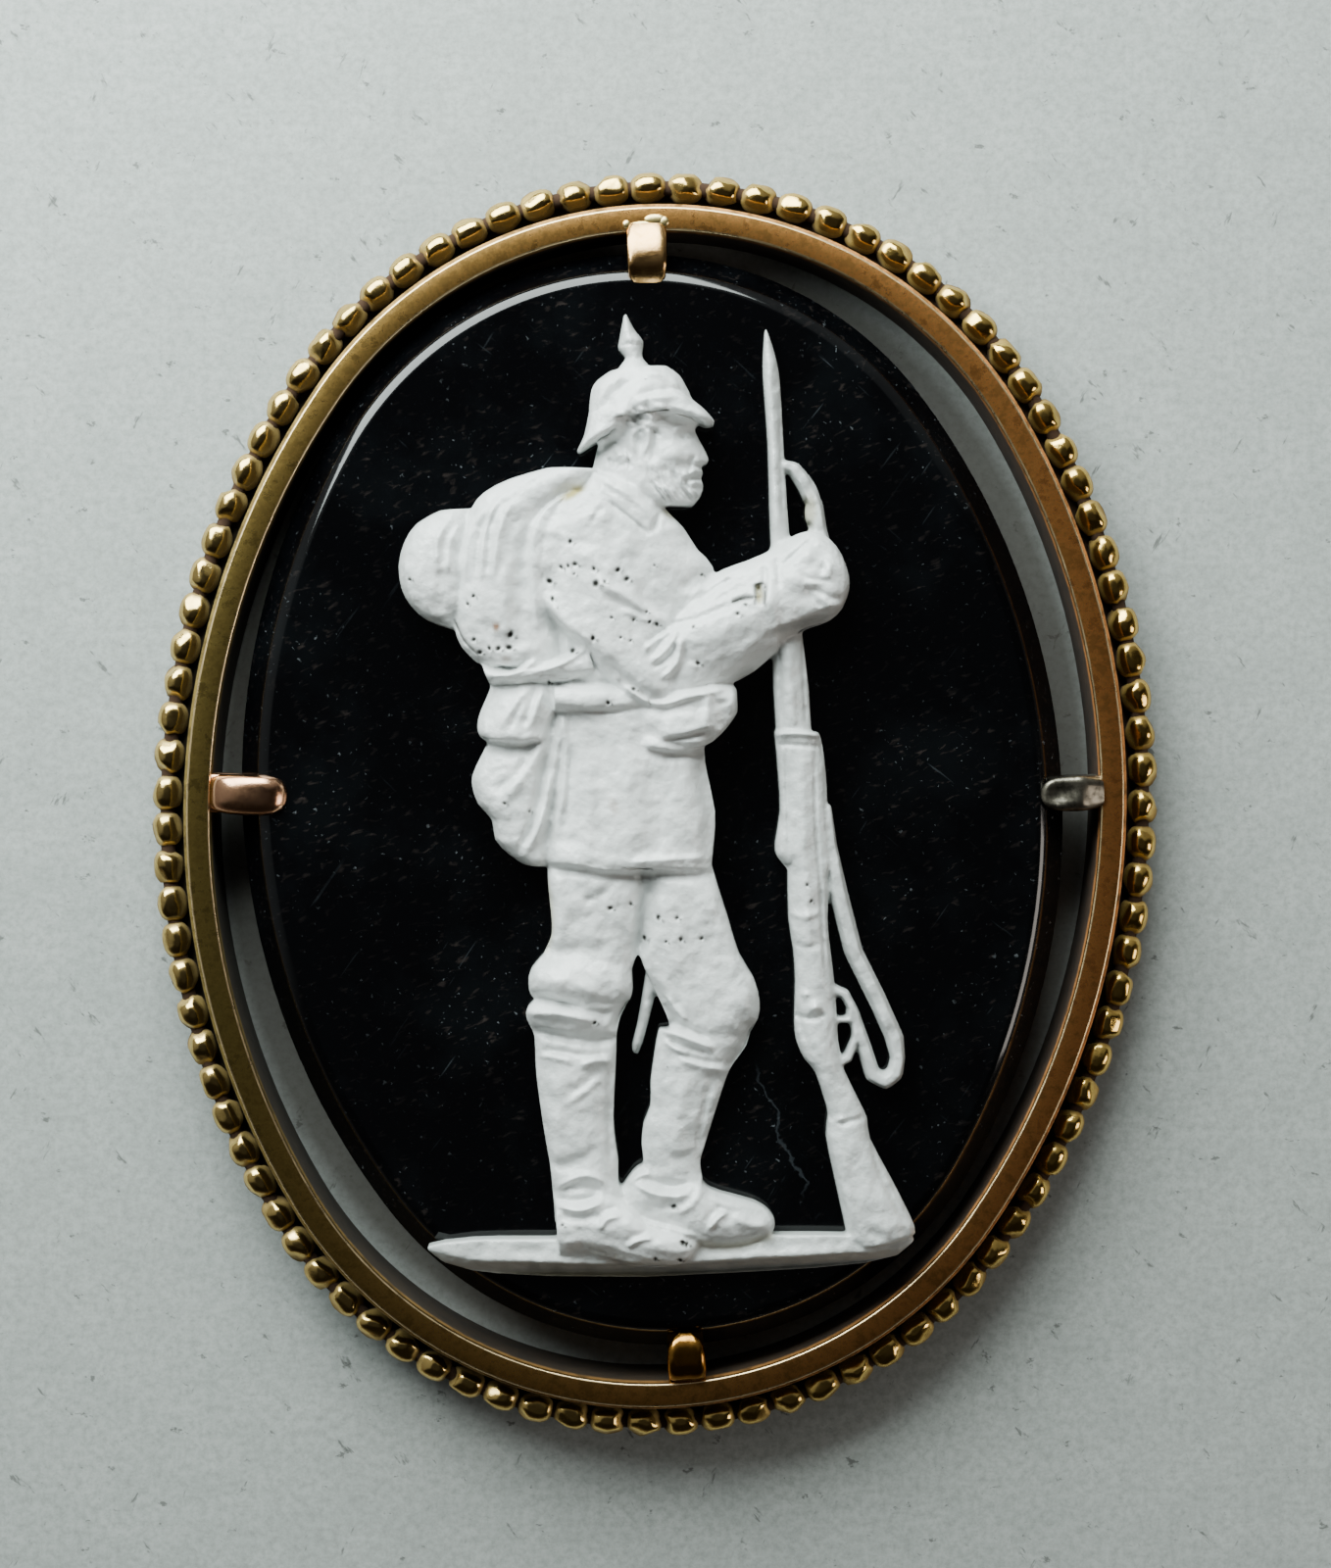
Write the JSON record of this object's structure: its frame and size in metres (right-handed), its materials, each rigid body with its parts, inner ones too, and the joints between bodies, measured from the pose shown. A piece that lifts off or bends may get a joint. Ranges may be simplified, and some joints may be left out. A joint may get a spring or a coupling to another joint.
{
  "type": "cameo pendant",
  "caption": "Oval two-layer stone with a raised white standing figure on black, held by claws in an open gold rim with a beaded wire edge.",
  "frame": {"origin": "middle of the pendant, on the plane that its back edge rests on", "axes": "+Z out of the carved front, +Y along the standing figure towards its helmet, +X to the figure's front"},
  "size_m": [0.037, 0.0466, 0.006],
  "materials": {
    "gold": "polished, worn and tarnished in the hollows",
    "black_onyx": "polished",
    "white_onyx": "satin"
  },
  "bodies": {
    "root": {"setting": "gold", "black_layer": "black_onyx", "white_carving": "white_onyx", "bail": "gold"}
  },
  "joints": []
}
